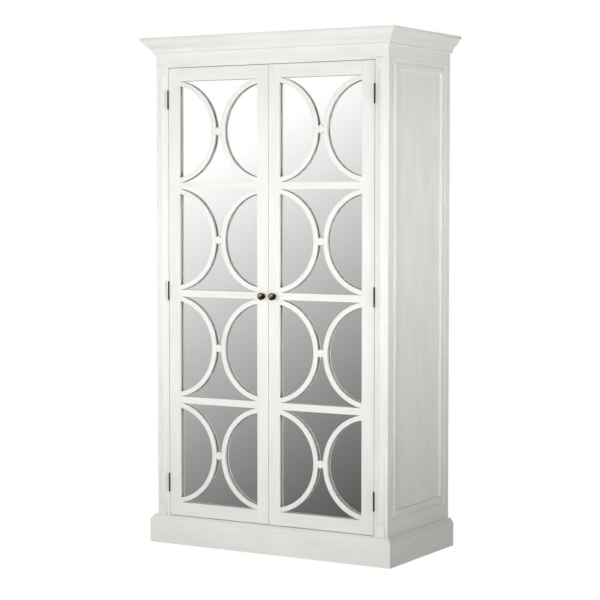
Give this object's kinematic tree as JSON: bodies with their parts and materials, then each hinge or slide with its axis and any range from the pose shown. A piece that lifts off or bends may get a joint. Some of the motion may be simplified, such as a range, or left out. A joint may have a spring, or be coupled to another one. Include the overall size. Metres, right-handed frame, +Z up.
{
  "type": "armoire",
  "caption": "Tall two-door armoire: mirrored doors with bowed fretwork, stopped half-round pilasters, crown cornice, moulded plinth, hat shelf and hanging rail.",
  "frame": {"origin": "on the floor, at the centre of the whole outline's bounding box", "axes": "+Z up, -Y out of the doors' front, +X to the right of a person facing the doors"},
  "size_m": [1.19, 0.59, 2.1],
  "materials": {
    "painted_wood": "satin off-white paint over solid wood, faint brushed grain",
    "inner_board": "satin off-white paint over board",
    "thin_board": "painted plywood",
    "mirror_glass": "polished silvered glass",
    "hinge_bronze": "dark bronzed, satin",
    "knob_brass": "antiqued, dark in the hollows and rubbed on the dome",
    "steel_screws": "plain zinc",
    "rail_chrome": "polished",
    "catch_plastic": "moulded white plastic",
    "catch_steel": "bright zinc plate"
  },
  "bodies": {
    "carcass": {"back_panel": "thin_board", "back_post_left": "painted_wood", "back_post_right": "painted_wood", "back_screws": "steel_screws", "bottom_board": "inner_board", "cornice_cap": "painted_wood", "cornice_front": "painted_wood", "cornice_left": "painted_wood", "cornice_right": "painted_wood", "door_catches": "catch_plastic", "door_stops": "painted_wood", "frieze_rail": "painted_wood", "front_post_left": "painted_wood", "front_post_right": "painted_wood", "hanging_rail": "rail_chrome", "hat_shelf": "inner_board", "hinge_leaves_frame": "hinge_bronze", "hinge_pins": "hinge_bronze", "hinge_screws_frame": "steel_screws", "pilaster_left": "painted_wood", "pilaster_right": "painted_wood", "plinth_back": "inner_board", "plinth_front": "painted_wood", "plinth_left": "painted_wood", "plinth_right": "painted_wood", "rail_sockets": "rail_chrome", "shelf_cleats": "inner_board", "side_bottom_rail_left": "painted_wood", "side_bottom_rail_right": "painted_wood", "side_moulding_left": "painted_wood", "side_moulding_right": "painted_wood", "side_panel_left": "painted_wood", "side_panel_right": "painted_wood", "side_top_rail_left": "painted_wood", "side_top_rail_right": "painted_wood", "top_board": "inner_board"},
    "left_door": {"left_door_backing": "thin_board", "left_door_bottom_rail": "painted_wood", "left_door_catch_plate": "catch_steel", "left_door_fretwork": "painted_wood", "left_door_hinge_leaves": "hinge_bronze", "left_door_hinge_screws": "steel_screws", "left_door_hinge_stile": "painted_wood", "left_door_knob": "knob_brass", "left_door_meeting_stile": "painted_wood", "left_door_mid_rails": "painted_wood", "left_door_mirror": "mirror_glass", "left_door_top_rail": "painted_wood"},
    "right_door": {"right_door_backing": "thin_board", "right_door_bottom_rail": "painted_wood", "right_door_catch_plate": "catch_steel", "right_door_fretwork": "painted_wood", "right_door_hinge_leaves": "hinge_bronze", "right_door_hinge_screws": "steel_screws", "right_door_hinge_stile": "painted_wood", "right_door_knob": "knob_brass", "right_door_meeting_stile": "painted_wood", "right_door_mid_rails": "painted_wood", "right_door_mirror": "mirror_glass", "right_door_top_rail": "painted_wood"}
  },
  "joints": [
    {"name": "left_door_hinge", "type": "hinge", "parent": "carcass", "child": "left_door", "pos_m": [-0.4849, -0.2487, 1.047], "axis": [0, 0, -1], "range_deg": [0, 165]},
    {"name": "right_door_hinge", "type": "hinge", "parent": "carcass", "child": "right_door", "pos_m": [0.4849, -0.2487, 1.047], "axis": [0, 0, 1], "range_deg": [0, 165]}
  ]
}
